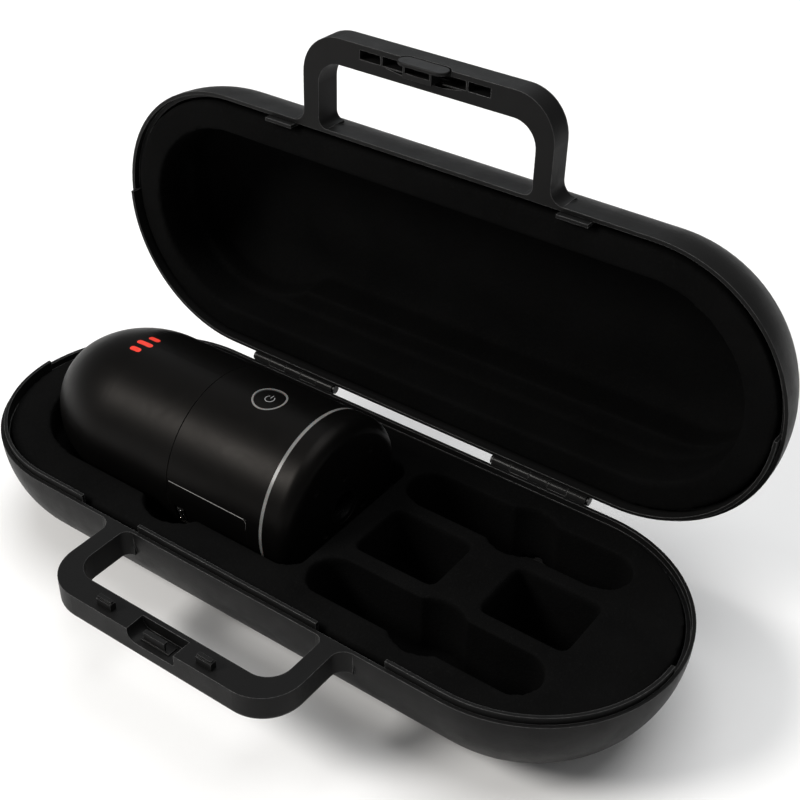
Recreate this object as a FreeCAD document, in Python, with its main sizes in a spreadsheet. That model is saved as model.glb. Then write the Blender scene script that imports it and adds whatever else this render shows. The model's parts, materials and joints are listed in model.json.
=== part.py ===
import FreeCAD, Part
import math
import os
import Sketcher

# Terrestrial laser scanner lying in its fitted two-half carrying case, lid open. Millimetres.
# Origin: on the surface that the feet stand on, under the middle of the case.
# +X runs along the case towards the accessory pockets, +Y towards the hinges, +Z up.

doc = FreeCAD.newDocument("scanner_and_case")
sheet = doc.addObject("Spreadsheet::Sheet", "sizes")

SIZES = {
    # case, both halves
    "rim_height": 51.2,
    "half_length": 174.6,
    "half_width": 66.1,
    "shell_depth": 50.0,
    "corner_reach": 42.0,
    "corner_radius": 35.0,
    "wall": 3.5,
    "parting_gap": 0.15,
    "land": 1.7,
    "rebate_depth": 3.4,
    "lip_inset": 2.0,
    "lip_height": 3.0,
    "base_lip_half": 48.5,
    "lid_tab_start": 67.0,
    "tab_end": 82.2,
    "end_gap": 0.4,
    # handle
    "handle_half": 62.2,
    "handle_reach": 108.3,
    "handle_corner": 19.0,
    "handle_depth": 13.0,
    "grip_half": 54.0,
    "grip_reach": 96.9,
    "grip_corner": 11.0,
    "outer_root": 6.0,
    "inner_root": 4.0,
    "outer_round": 2.6,
    # hinges and lid
    "hinge_y": 69.16,
    "hinge_rise": 0.3,
    "hinge_centre": 71.0,
    "knuckle_radius": 2.8,
    "knuckle_pitch": 9.8,
    "knuckle_length": 9.5,
    "pin_radius": 1.2,
    "pin_clearance": 0.06,
    "open_angle": 90.79,
    # foam
    "foam_inset": 4.6,
    "foam_drop": 0.5,
    "foam_floor": 46.1,
    "lid_recess_inset": 18.5,
    "lid_shelf": 22.0,
    "lid_deep_edge": 36.6,
    "lid_deep_inset": 6.6,
    "lid_deep_trim": 3.0,
    "lid_deep_corner": 30.0,
    # latch
    "strip_half": 32.0,
    "strip_front": 106.0,
    "strip_back": 102.0,
    "slot_depth": 5.0,
    "channel_depth": 7.6,
    "rib": 1.0,
    "rib_x": 21.0,
    "tab_centre": 26.7,
    "tab_half": 3.9,
    "tab_height": 4.3,
    "latch_x": 0.9,
    "button_half": 12.0,
    "button_back": 2.6,
    "button_front": 5.2,
    "button_plate": 1.4,
    "button_gap": 0.6,
    "leg_x": 6.5,
    "hook_low": 102.9,
    "hook_high": 101.9,
    "hook_tip": 4.6,
    "scoop_half": 12.5,
    "scoop_depth": 6.0,
    "scoop_round": 4.5,
    "scoop_back": 99.1,
    # scanner
    "axis_rise": 2.7,
    "scanner_radius": 40.0,
    "apex_x": 148.6,
    "dome_x": 97.6,
    "dome_tip_radius": 34.0,
    "seam_x": 54.5,
    "ring_x": 1.6,
    "ring_width": 1.7,
    "end_x": 13.4,
    "end_round": 6.5,
    "skin": 2.2,
    "head_gap": 0.4,
    "button_x": 27.0,
    "button_radius": 7.95,
    "button_ring_bore": 7.15,
    "button_cap": 6.95,
    "button_hole": 7.99,
    "tray_half": 42.6,
    "tray_depth": 16.0,
    "door_far": 53.2,
    "door_near": 8.6,
    "door_half": 17.5,
    "battery_far": 48.6,
    "battery_near": 10.0,
    "cell_radius": 8.8,
    "cell_rise": 26.0,
    "lens_x": 68.0,
    "mirror_x": 100.0,
    "mirror_radius": 9.5,
    "window_half": 11.0,
    "screw_circle": 27.0,
    "bush_bore": 6.8,
    # base foam pockets, x and y from the middle of the case
    "accessory_y": 35.6,
    "accessory_start": 24.0,
    "accessory_end": 134.5,
    "accessory_half": 11.6,
    "accessory_depth": 32.0,
    "thumb_x": 82.5,
    "thumb_radius": 16.0,
    "spare_near_x": 50.5,
    "spare_far_x": 113.5,
    "spare_long": 20.0,
    "spare_wide": 15.5,
    "spare_depth": 38.0,
    "scoop_floor": 26.0,
    # place in the row frame
    "frame_shift": 5.92,
}
for row, (alias, number) in enumerate(SIZES.items(), start=1):
    sheet.set(f"A{row}", alias)
    sheet.set(f"B{row}", str(number))
    sheet.setAlias(f"B{row}", alias)
doc.recompute()


class Length:
    """A number together with the spreadsheet formula that gives it."""

    def __init__(self, formula, number):
        self.formula = formula
        self.number = float(number)

    def joined(self, other, sign, number):
        return Length(f"({self.formula} {sign} {as_length(other).formula})", number)

    def __add__(self, other):
        return self.joined(other, "+", self.number + as_length(other).number)

    def __sub__(self, other):
        return self.joined(other, "-", self.number - as_length(other).number)

    def __mul__(self, other):
        return self.joined(other, "*", self.number * as_length(other).number)

    def __truediv__(self, other):
        return self.joined(other, "/", self.number / as_length(other).number)

    def __radd__(self, other):
        return as_length(other) + self

    def __rsub__(self, other):
        return as_length(other) - self

    def __rmul__(self, other):
        return as_length(other) * self

    def __rtruediv__(self, other):
        return as_length(other) / self

    def __neg__(self):
        return Length(f"(0 - {self.formula})", -self.number)


def as_length(value):
    return value if isinstance(value, Length) else Length(f"({value})", value)


def cell(alias):
    return Length(f"sizes.{alias}", SIZES[alias])


def bind(thing, prop, value):
    thing.setExpression(prop, as_length(value).formula)


# ---------------------------------------------------------------- building blocks


def placed(thing, x=0, y=0, z=0, rotation=None):
    """Puts a primitive at a bound position, turned by a fixed rotation."""
    if rotation:
        thing.Placement = FreeCAD.Placement(FreeCAD.Vector(), rotation)
    for letter, value in zip("xyz", (x, y, z)):
        bind(thing, f"Placement.Base.{letter}", value)
    return thing


def box(x0, x1, y0, y1, z0, z1):
    """A block between two corners."""
    low = [as_length(v) for v in (x0, y0, z0)]
    high = [as_length(v) for v in (x1, y1, z1)]
    block = doc.addObject("Part::Box", "block")
    for prop, a, b in zip(("Length", "Width", "Height"), low, high):
        bind(block, prop, b - a)
    return placed(block, *low)


TURNS = {
    "x": FreeCAD.Rotation(FreeCAD.Vector(0, 1, 0), 90),
    "y": FreeCAD.Rotation(FreeCAD.Vector(1, 0, 0), -90),
    "z": FreeCAD.Rotation(),
}


def rod(axis, start, length, radius, a=0, b=0, z=0):
    """A cylinder along x, y or z from start. a and b are its place across the axis, in x, y, z order."""
    cylinder = doc.addObject("Part::Cylinder", "rod")
    bind(cylinder, "Radius", radius)
    bind(cylinder, "Height", length)
    spot = {"x": (start, a, b), "y": (a, start, b), "z": (a, b, start)}[axis]
    return placed(cylinder, *spot, rotation=TURNS[axis])


def tube(axis, start, length, outer, inner, a=0, b=0):
    return cut(rod(axis, start, length, outer, a, b), rod(axis, start - 1, length + 2, inner, a, b))


def fuse(*things):
    if len(things) == 1:
        return things[0]
    joined = doc.addObject("Part::MultiFuse", "joined")
    joined.Shapes = list(things)
    joined.Refine = True
    return joined


def cut(base, *tools):
    result = doc.addObject("Part::Cut", "cut")
    result.Base = base
    result.Tool = fuse(*tools)
    result.Refine = True
    return result


def common(*things):
    result = doc.addObject("Part::MultiCommon", "common")
    result.Shapes = list(things)
    return result


def group(*things):
    """Separate solids kept together as one sub-part."""
    bunch = doc.addObject("Part::Compound", "bunch")
    bunch.Links = list(things)
    return bunch


def moved(thing, x=0, y=0, z=0, rotation=None):
    """A copy of a thing, carried to a bound place."""
    bunch = group(thing)
    return placed(bunch, x, y, z, rotation)


class Outline:
    """A closed sketch outline of lines and arcs whose corners are bound to the sheet."""

    def __init__(self, x, y):
        self.points = [(as_length(x), as_length(y))]
        self.arcs = {}

    def line(self, x, y):
        self.points.append((as_length(x), as_length(y)))
        return self

    def arc(self, x, y, radius, cx, cy, clockwise=False):
        """An arc to x, y. cx, cy is its centre as the sketch is first drawn."""
        self.arcs[len(self.points) - 1] = (as_length(radius), as_length(cx), as_length(cy), clockwise)
        return self.line(x, y)

    def draw(self, sketch):
        corners = [FreeCAD.Vector(x.number, y.number, 0) for x, y in self.points]
        if corners[-1].isEqual(corners[0], 1e-6):
            corners.pop()
        count = len(corners)
        ends = []
        for i in range(count):
            a, b = corners[i], corners[(i + 1) % count]
            if i not in self.arcs:
                ends.append((sketch.addGeometry(Part.LineSegment(a, b), False), 1, 2))
                continue
            radius, cx, cy, clockwise = self.arcs[i]
            centre = FreeCAD.Vector(cx.number, cy.number, 0)
            first, last = (b, a) if clockwise else (a, b)
            spans = [math.atan2(p.y - centre.y, p.x - centre.x) for p in (first, last)]
            if spans[1] < spans[0]:
                spans[1] += 2 * math.pi
            circle = Part.Circle(centre, FreeCAD.Vector(0, 0, 1), radius.number)
            index = sketch.addGeometry(Part.ArcOfCircle(circle, *spans), False)
            ends.append((index, 2, 1) if clockwise else (index, 1, 2))
        for i in range(count):
            here, there = ends[i], ends[(i + 1) % count]
            sketch.addConstraint(Sketcher.Constraint("Coincident", here[0], here[2], there[0], there[1]))
        for i, (x, y) in enumerate(self.points[:count]):
            index, start, _ = ends[i]
            for kind, value in (("DistanceX", x), ("DistanceY", y)):
                rule = Sketcher.Constraint(kind, -1, 1, index, start, value.number)
                number = sketch.addConstraint(rule)
                bind(sketch, f"Constraints[{number}]", value)
        for i, (radius, cx, cy, _) in self.arcs.items():
            a, b = corners[i], corners[(i + 1) % count]
            rule = Sketcher.Constraint("Radius", ends[i][0], radius.number)
            value = radius
            if abs(a.distanceToPoint(b) - 2 * radius.number) < 1e-6:
                # a half circle is held by its centre, because its chord already gives its radius
                upright = abs(a.x - b.x) < abs(a.y - b.y)
                kind, value = ("DistanceX", cx) if upright else ("DistanceY", cy)
                rule = Sketcher.Constraint(kind, -1, 1, ends[i][0], 3, value.number)
            number = sketch.addConstraint(rule)
            bind(sketch, f"Constraints[{number}]", value)


def new_sketch(body, plane, outline, offset=0):
    sketch = body.newObject("Sketcher::SketchObject", "outline")
    base = [f for f in body.Origin.OriginFeatures if f.Role == plane][0]
    sketch.AttachmentSupport = (base, [""])
    sketch.MapMode = "FlatFace"
    bind(sketch, "AttachmentOffset.Base.z", offset)
    outline.draw(sketch)
    return sketch


def pad(outline, low, high, plane="XY_Plane"):
    """A body with one pad: the outline between two levels of the plane's normal."""
    low, high = as_length(low), as_length(high)
    body = doc.addObject("PartDesign::Body", "padded")
    feature = body.newObject("PartDesign::Pad", "pad")
    feature.Profile = new_sketch(body, plane, outline, low)
    bind(feature, "Length", high - low)
    body.Tip = feature
    return body


def lathe(outline, axis="H_Axis", plane="XZ_Plane", angle=360, symmetric=False):
    """A body with one revolution of the outline about a sketch axis."""
    body = doc.addObject("PartDesign::Body", "turned")
    sketch = new_sketch(body, plane, outline)
    feature = body.newObject("PartDesign::Revolution", "revolution")
    feature.Profile = sketch
    feature.ReferenceAxis = (sketch, [axis])
    feature.Angle = angle
    feature.Midplane = symmetric
    body.Tip = feature
    return body


def rounded(x0, x1, y0, y1, radius):
    """A rectangle with round corners."""
    x0, x1, y0, y1, r = [as_length(v) for v in (x0, x1, y0, y1, radius)]
    return (
        Outline(x1, y0 + r)
        .line(x1, y1 - r)
        .arc(x1 - r, y1, r, x1 - r, y1 - r)
        .line(x0 + r, y1)
        .arc(x0, y1 - r, r, x0 + r, y1 - r)
        .line(x0, y0 + r)
        .arc(x0 + r, y0, r, x0 + r, y0 + r)
        .line(x1 - r, y0)
        .arc(x1, y0 + r, r, x1 - r, y0 + r)
    )


# ---------------------------------------------------------------- case


def half_solid(inset):
    """One case half, opening upwards at z = 0: a long middle, two round ends and two-arc lower corners."""
    r2 = cell("corner_radius") - inset
    deep = cell("shell_depth") - inset
    reach = cell("corner_reach")
    wide = cell("half_width") - inset
    rise = cell("shell_depth") - cell("corner_radius")
    r1 = (rise * rise + reach * reach - cell("corner_radius") * cell("corner_radius")) / (
        2 * (reach - cell("corner_radius"))
    ) - inset
    ratio = 1 / (r1 - r2)
    flat = wide - reach + inset
    c1x = wide - r1
    tx = flat + r2 * (flat - c1x) * ratio
    ty = -rise - r2 * rise * ratio
    straight = cell("half_length") - cell("half_width")
    top = as_length(0)

    def right_side(start):
        return (
            start.line(flat, -deep)
            .arc(tx, ty, r2, flat, -rise)
            .arc(wide, top, r1, c1x, 0)
        )

    section = right_side(Outline(-flat, -deep)).line(-wide, top)
    section.arc(-tx, ty, r1, -c1x, 0).arc(-flat, -deep, r2, -flat, -rise)
    middle = pad(section, -straight, straight, "YZ_Plane")
    ends = []
    for side in (1, -1):
        turned = lathe(right_side(Outline(0, -deep)).line(0, top), "V_Axis")
        ends.append(moved(turned, x=straight * side))
    return fuse(middle, *ends)


def stadium(inset, low, high):
    """An upright prism with the case's plan, drawn in by an inset."""
    wide = cell("half_width") - inset
    straight = cell("half_length") - cell("half_width")
    return pad(pill(-straight - wide, straight + wide, -wide, wide), low, high)


def pill(x0, x1, y0, y1):
    """A rectangle with fully round ends along x."""
    x0, x1, y0, y1 = [as_length(v) for v in (x0, x1, y0, y1)]
    r = (y1 - y0) / 2
    mid = (y0 + y1) / 2
    return (
        Outline(x0 + r, y0)
        .line(x1 - r, y0)
        .arc(x1 - r, y1, r, x1 - r, mid)
        .line(x0 + r, y1)
        .arc(x0 + r, y0, r, x0 + r, mid)
    )


def handle():
    """The half handle: two arms and a grip, with flared roots and rounded outer edges, top at z = 0."""
    half, reach, r = cell("handle_half"), cell("handle_reach"), cell("handle_corner")
    root, wall_y = cell("outer_root"), -cell("half_width")
    outer = (
        Outline(-half - root, wall_y + 8)
        .line(-half - root, wall_y)
        .arc(-half, wall_y - root, root, -half - root, wall_y - root, clockwise=True)
        .line(-half, r - reach)
        .arc(r - half, -reach, r, r - half, r - reach)
        .line(half - r, -reach)
        .arc(half, r - reach, r, half - r, r - reach)
        .line(half, wall_y - root)
        .arc(half + root, wall_y, root, half + root, wall_y - root, clockwise=True)
        .line(half + root, wall_y + 8)
    )
    grip, far, q = cell("grip_half"), cell("grip_reach"), cell("grip_corner")
    inner_root = cell("inner_root")
    inner = (
        Outline(inner_root - grip, wall_y + 12)
        .line(inner_root - grip, wall_y)
        .arc(-grip, wall_y - inner_root, inner_root, inner_root - grip, wall_y - inner_root)
        .line(-grip, q - far)
        .arc(q - grip, -far, q, q - grip, q - far)
        .line(grip - q, -far)
        .arc(grip, q - far, q, grip - q, q - far)
        .line(grip, wall_y - inner_root)
        .arc(grip - inner_root, wall_y, inner_root, grip - inner_root, wall_y - inner_root)
        .line(grip - inner_root, wall_y + 12)
    )
    body = pad(outer, -cell("handle_depth"), 0)
    sketch = new_sketch(body, "XY_Plane", inner, 1)
    pocket = body.newObject("PartDesign::Pocket", "opening")
    pocket.Profile = sketch
    bind(pocket, "Length", cell("handle_depth") + 2)
    body.Tip = pocket
    doc.recompute()
    low = -cell("handle_depth").number
    names = []
    for number, edge in enumerate(pocket.Shape.Edges, start=1):
        flat = all(abs(v.Z - low) < 1e-6 for v in edge.Vertexes)
        spot = edge.CenterOfMass
        outside = abs(spot.x) > grip.number + 0.5 or spot.y < -far.number - 0.5
        if flat and outside and spot.y < wall_y.number - 0.1:
            names.append(f"Edge{number}")
    rounding = body.newObject("PartDesign::Fillet", "rounding")
    rounding.Base = (pocket, names)
    bind(rounding, "Radius", cell("outer_round"))
    body.Tip = rounding
    return body


def lip_ring(low, high):
    inset, land = cell("lip_inset"), cell("wall")
    return cut(stadium(inset, low, high), stadium(land, low - 1, high + 1))


def knuckles(which, side_up):
    """Hinge knuckles with webs below them, at the places 0 to 4 that which lists.

    side_up is 1 on the base, -1 on the lid.
    """
    y, z = cell("hinge_y"), cell("hinge_rise") * side_up
    radius, length = cell("knuckle_radius"), cell("knuckle_length")
    pieces, bores = [], []
    for side in (-1, 1):
        for place in which:
            start = cell("hinge_centre") * side + cell("knuckle_pitch") * (place - 2) - length / 2
            pieces.append(rod("x", start, length, radius, y, z))
            web_top = -cell("parting_gap") - 0.15
            pieces.append(box(start, start + length, cell("half_width") - 2.6, y, -4.6, web_top))
            bores.append(rod("x", start - 1, length + 2, cell("pin_radius") + cell("pin_clearance"), y, z))
    return cut(fuse(*pieces), *bores)


def latch_pocket():
    """The scoop in the base grip that the latch button drops into, open towards the front."""
    left, right = cell("latch_x") - cell("scoop_half"), cell("latch_x") + cell("scoop_half")
    deep, r = -cell("scoop_depth"), cell("scoop_round")
    outline = (
        Outline(left, 1)
        .line(left, deep + r)
        .arc(left + r, deep, r, left + r, deep + r)
        .line(right - 1, deep)
        .line(right, deep + 1)
        .line(right, 1)
    )
    return pad(outline, cell("scoop_back"), cell("handle_reach") + 1, "XZ_Plane")


def make_half(lip_parts, hinge_places, details, side_up):
    """A case shell opening upwards: outer form and handle, hollowed, with the rim's rebate and its lips."""
    gap = cell("parting_gap")
    body = fuse(half_solid(0), handle())
    above = box(-250, 250, -150, 150, -gap, 20)
    rebate = stadium(cell("land"), -cell("rebate_depth"), 5)
    hinges = cut(knuckles(hinge_places, side_up), half_solid(1.2))
    hollow = half_solid(cell("wall"))
    shell = cut(body, above, rebate, hollow)
    lips = common(lip_ring(-cell("rebate_depth"), cell("lip_height")), fuse(*lip_parts))
    return cut(fuse(shell, lips, hinges), *details)


def base_lip_spans():
    """Blocks that keep the base's front lip, which stops short of the lid's two tabs."""
    far, end, middle = 200, cell("tab_end"), cell("base_lip_half")
    return [box(a, b, -120, 0, -30, 30) for a, b in ((-far, -end), (-middle, middle), (end, far))]


def lid_lip_spans():
    """Blocks that keep the lid's back lip and its two front tabs."""
    start, end = cell("lid_tab_start") + cell("end_gap"), cell("tab_end") - cell("end_gap")
    tabs = [box(a, b, -120, -20, -30, 30) for a, b in ((-end, -start), (start, end))]
    return [box(-200, 200, 0, 120, -30, 30)] + tabs


FINGER_SCOOPS = ((-49.5, -34, 18), (-19, 41, 20))  # x, y and radius of the hollows beside the scanner


def pocket_solids():
    """The hollows of the base foam, with the foam's top at z = 0."""
    up = 5
    r, rise, wide = cell("scanner_radius"), cell("axis_rise"), cell("tray_half")
    left, right = -cell("apex_x") - 3, cell("end_x") + 5.6
    plan = (
        Outline(left + wide, -wide)
        .line(right - 9, -wide)
        .arc(right, 9 - wide, 9, right - 9, 9 - wide)
        .line(right, wide - 9)
        .arc(right - 9, wide, 9, right - 9, wide - 9)
        .line(left + wide, wide)
        .arc(left + wide, -wide, wide, left + wide, 0)
    )
    tools = [pad(plan, -cell("tray_depth"), up)]
    trough = rod("x", -cell("dome_x"), cell("dome_x") + right - 3, r + 0.8, 0, rise)
    end = lathe(scanner_profile(0.8, 0.8, tip=True))
    tools += [trough, moved(end, z=rise)]
    floor = cell("scoop_floor")
    for x, y, radius in FINGER_SCOOPS:
        tools.append(rod("z", -floor, floor + up, radius, x, y))
    start, end, half = cell("accessory_start"), cell("accessory_end"), cell("accessory_half")
    deep = cell("accessory_depth")
    for side in (-1, 1):
        y = cell("accessory_y") * side
        tools.append(pad(pill(start, end, y - half, y + half), -deep, up))
        tools.append(rod("z", -deep, deep + up, cell("thumb_radius"), cell("thumb_x"), y))
    long, wide = cell("spare_long"), cell("spare_wide")
    for x in (cell("spare_near_x"), cell("spare_far_x")):
        tools.append(pad(rounded(x - long, x + long, -wide, wide, 3), -cell("spare_depth"), up))
    return tools


def scanner_profile(grow, trim, tip=False):
    """Half outline of the domed head, in x and radius. tip leaves out the straight part."""
    r1_tip = cell("dome_tip_radius") + grow
    r, start, apex = cell("scanner_radius") + grow, -cell("dome_x"), -cell("apex_x") - grow
    a = cell("apex_x") - cell("dome_x")
    b, q = cell("scanner_radius"), cell("dome_tip_radius")
    flank = ((a - q) * (a - q) + b * b - q * q) / (2 * (b - q)) + grow
    ratio = 1 / (flank - r1_tip)
    cx = apex + r1_tip
    tx = cx + r1_tip * (cx - start) * ratio
    ty = r1_tip * (flank - r) * ratio
    end = start if tip else -cell("seam_x") - trim
    shape = Outline(end, 0).line(end, r)
    if not tip:
        shape.line(start, r)
    return shape.arc(tx, ty, flank, start, r - flank).arc(apex, 0, r1_tip, cx, 0)


foam_top = -cell("foam_drop")


def base_foam():
    block = common(half_solid(cell("foam_inset")), box(-200, 200, -100, 100, -cell("foam_floor"), foam_top))
    tools = [moved(tool, z=foam_top) for tool in pocket_solids()]
    return cut(block, *tools)


def lid_foam():
    """The lid's lining, drawn opening upwards like the base and turned over with the lid."""
    wide = cell("half_width") - cell("lid_recess_inset")
    long = cell("half_length") - cell("lid_recess_inset")
    trim, edge, far = cell("lid_deep_trim"), cell("lid_deep_edge"), -cell("shell_depth")
    block = common(half_solid(cell("foam_inset")), box(-200, 200, -100, 100, far, foam_top))
    recess = pad(pill(-long, long, -wide, wide), -cell("lid_shelf"), 5)
    deep = pad(rounded(trim - long, long - trim, trim - wide, edge, cell("lid_deep_corner")), far, 5)
    lobe = rod("z", far, cell("shell_depth") + 5, wide - 2, long - wide, 0)
    skinned = half_solid(cell("lid_deep_inset"))
    return cut(block, recess, common(fuse(deep, lobe), skinned, stadium(cell("lid_recess_inset"), far, 5)))


# ---------------------------------------------------------------- scanner, drawn with its axis on x at z = 0


def ring(x0, x1, outer, inner):
    """A plain ring about the scanner axis."""
    return tube("x", x0, as_length(x1) - x0, outer, inner)


R, SKIN = cell("scanner_radius"), cell("skin")
SEAM, RING_X, END = -cell("seam_x"), -cell("ring_x"), cell("end_x")
APEX, DOME = -cell("apex_x"), -cell("dome_x")
INNER = R - SKIN


def window_band(outer, inner, width, angle):
    """The strip over the dome that the laser looks through, between two dome surfaces."""
    full = cut(lathe(scanner_profile(outer, 14)), lathe(scanner_profile(inner, 10)))
    band = box(-170, SEAM - 16, -width / 2, width / 2, -60, 60)
    return common(full, moved(band, rotation=FreeCAD.Rotation(FreeCAD.Vector(1, 0, 0), angle)))


# directions round the scanner axis, in degrees from straight up
WINDOW_ANGLE = -60
DOOR_ANGLE = 106
LENS_ANGLES = (-150, 150, -105)
LENS_X, MIRROR_X = -cell("lens_x"), -cell("mirror_x")
BUTTON_X = -cell("button_x")


def turned_about_axis(thing, angle):
    return moved(thing, rotation=FreeCAD.Rotation(FreeCAD.Vector(1, 0, 0), angle))


def dome_cover():
    outer = lathe(scanner_profile(0, cell("head_gap") / 2))
    hollow = lathe(scanner_profile(-SKIN, -2))
    half = cell("window_half")
    slot = turned_about_axis(box(-170, SEAM - 16, -half, half, -60, 60), WINDOW_ANGLE)
    holes = [turned_about_axis(rod("z", 30, 20, 5.3, LENS_X, 0), a) for a in LENS_ANGLES]
    rib = ring(SEAM - 7, SEAM - 5, INNER + 0.2, INNER - 2)
    return fuse(cut(outer, hollow, slot, *holes), rib)


def lower_housing():
    """The tube between the head and the foot, with the button hole, battery opening and inner ledges."""
    start, stop = SEAM + cell("head_gap") / 2, RING_X
    wall = ring(start, stop, R, INNER)
    deck = ring(start + 3, start + 5.4, INNER + 0.2, 17)
    ledge = ring(stop - 3, stop, INNER + 0.2, INNER - 2.4)
    hole = rod("z", 30, 20, cell("button_hole"), BUTTON_X, 0)
    return cut(fuse(wall, deck, ledge), hole, door_block(0.25))


def door_block(grow):
    """The sector of the housing wall that the battery door fills."""
    far, near, half = cell("door_far") + grow, cell("door_near") - grow, cell("door_half") + grow
    block = box(-far, -near, -half, half, 30, 50)
    return turned_about_axis(block, DOOR_ANGLE)


def battery_door():
    plate = common(ring(SEAM, RING_X, R, INNER), door_block(0))
    recess = turned_about_axis(box(-51, -44, -6, 6, R - 1.2, 50), DOOR_ANGLE)
    return cut(plate, recess)


def door_latch():
    body = box(-50, -46.5, -4, 4, R - 1.1, R - 0.5)
    grip = box(-48.8, -47.7, -3.4, 3.4, R - 0.6, R - 0.1)
    return turned_about_axis(fuse(body, grip), DOOR_ANGLE)


def led_ring():
    return ring(RING_X, RING_X + cell("ring_width"), R - 0.15, INNER - 1)


def foot_shell():
    """The rounded foot beyond the light ring, with a flat end face and the mounting bore."""
    start, r = RING_X + cell("ring_width"), cell("end_round")
    outline = (
        Outline(start, INNER - 1)
        .line(start, R)
        .line(END - r, R)
        .arc(END, R - r, r, END - r, R - r, clockwise=True)
        .line(END, 9.2)
        .line(END - 3, 9.2)
        .line(END - 3, INNER - 4)
        .line(start + 2, INNER - 1)
    )
    screws = [rod("x", END - 3.5, 5, 1.7, *spot) for spot in screw_spots()]
    keys = [rod("x", END - 1.2, 3, 2.0, *spot) for spot in key_spots()]
    return cut(lathe(outline), *screws, *keys)


def spots(count, radius, first):
    out = []
    for i in range(count):
        angle = math.radians(first + 360 / count * i)
        out.append((radius * math.cos(angle), radius * math.sin(angle)))
    return out


def screw_spots():
    return spots(4, SIZES["screw_circle"], 45)


def key_spots():
    return spots(3, 15.5, 90)


def screw(start, reach, shank, head_radius, head, y, z):
    """A socket-head screw pointing towards -x, with its head's face at start."""
    thread = rod("x", start - reach, reach, shank, y, z)
    shape = fuse(thread, rod("x", start - head, head, head_radius, y, z))
    return cut(shape, rod("x", start - head / 2, head, head_radius * 0.5, y, z))


def mount_bush():
    bore = cell("bush_bore")
    sleeve = fuse(ring(END - 12, END - 0.4, 9.0, bore), ring(END - 12, END - 8.5, 12.5, bore))
    grooves = [ring(END - 10.6 + 1.6 * i, END - 10.0 + 1.6 * i, bore + 0.5, bore - 0.3) for i in range(6)]
    return cut(sleeve, *grooves)


def head_frame():
    """The turning frame: a disc on the yaw bearing and two cheeks that carry the mirror."""
    disc = ring(SEAM - 5.0, SEAM - 2.0, 34, 6)
    far = MIRROR_X - 12
    cheeks = [box(far, SEAM - 4, side * 22 - 1.6, side * 22 + 1.6, -13, 13) for side in (-1, 1)]
    bores = rod("y", -30, 60, 3.2, MIRROR_X, 0)
    hub = ring(SEAM - 3, SEAM + 13.9, 8.9, 6)
    return turned_about_axis(cut(fuse(disc, *cheeks, hub), bores), WINDOW_ANGLE)


def mirror_rotor():
    """The spinning mirror: a barrel cut off at 45 degrees, on a shaft through one cheek and the motor."""
    slope = FreeCAD.Rotation(FreeCAD.Vector(1, 0, 0), 45)
    barrel = rod("y", -9, 20, cell("mirror_radius"), MIRROR_X, 0)
    barrel = cut(barrel, moved(box(-20, 20, -40, 0, -40, 40), x=MIRROR_X, rotation=slope))
    return turned_about_axis(fuse(barrel, rod("y", 10, 16, 3.12, MIRROR_X, 0)), WINDOW_ANGLE)


def mirror_motor():
    can = tube("y", 13.0, 7.2, 10.5, 3.4, MIRROR_X, 0)
    return turned_about_axis(can, WINDOW_ANGLE)


def laser_module():
    return turned_about_axis(box(-86, -64, -15, 15, -10, 10), WINDOW_ANGLE)


def beam_collimator():
    """The lens tube that sends the beam along the mirror's shaft line."""
    return turned_about_axis(tube("y", -20.4, 9.4, 5.2, 3.4, MIRROR_X, 0), WINDOW_ANGLE)


def camera(angle):
    barrel = fuse(rod("z", 29, 6, 4.6, LENS_X, 0), rod("z", 25, 4.2, 3.2, LENS_X, 0))
    return turned_about_axis(barrel, angle)


def camera_window(angle):
    pane = common(rod("z", 35.2, 6, 5.0, LENS_X, 0), rod("x", -90, 60, R - 0.3))
    return turned_about_axis(pane, angle)


def power_button():
    """A round cap that follows the housing's curve, with a short stem. Pressed towards the axis."""
    cap = common(rod("z", 36, 6, cell("button_cap"), BUTTON_X, 0), rod("x", -60, 60, R - 0.35))
    return fuse(cap, rod("z", 30.5, 6, 2.0, BUTTON_X, 0))


def button_ring():
    collar = tube("z", 35.4, 6, cell("button_radius"), cell("button_ring_bore"), BUTTON_X, 0)
    return common(collar, rod("x", -60, 60, R + 0.05))


def battery():
    """Two cells side by side under a flat label plate."""
    far, near, r, rise = cell("battery_far"), cell("battery_near"), cell("cell_radius"), cell("cell_rise")
    cells = [rod("x", -far, far - near, r, (r + 0.4) * side, rise) for side in (-1, 1)]
    plate = box(-far, -near, -10, 10, rise + 7, rise + 9.4)
    return turned_about_axis(fuse(*cells, plate), DOOR_ANGLE)


# ---------------------------------------------------------------- latch, drawn like the lid, opening upwards


FRONT, BACK = -cell("strip_front"), -cell("strip_back")
SLOT, CHANNEL = -cell("slot_depth"), -cell("channel_depth")
REACH = cell("handle_reach")
SLIDE_FRONT, SLIDE_BACK = FRONT + 0.6, BACK - 1.6


def button_plan(gap):
    """The button's rounded plan, in x and height above the parting plane, with a gap all round."""
    half, middle = cell("button_half") + gap, -cell("latch_x")
    low, high = -cell("button_back") - gap, cell("button_front") + gap
    return pill(middle - half, middle + half, low, high)


def latch_hollow():
    """The hollows in the lid's grip: slots between ribs, the slide's channel and the gates."""
    half, rib, gap = cell("strip_half"), cell("rib") / 2, cell("button_gap")
    slots = box(-half, half, FRONT, BACK, SLOT, 1)
    places = (-cell("rib_x"), cell("rib_x"))
    ribs = [box(x - rib, x + rib, FRONT - 1, BACK + 1, SLOT, 1) for x in places]
    channel = box(-half, half, FRONT, BACK, CHANNEL, SLOT + 0.2)
    gate = pad(button_plan(gap), -FRONT - 1, REACH + 1, "XZ_Plane")
    hook_gate = box(-9.5, 9.5, BACK - 0.1, -100.2, SLOT, 1)
    wedges = []
    for side in (-1, 1):
        wedge = Outline(9 * side, -101.5).line(19 * side, -101.5).line(9 * side, -100.2)
        wedges.append(pad(wedge, SLOT, 1))
    return [cut(slots, *ribs), channel, gate, hook_gate, *wedges]


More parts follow.
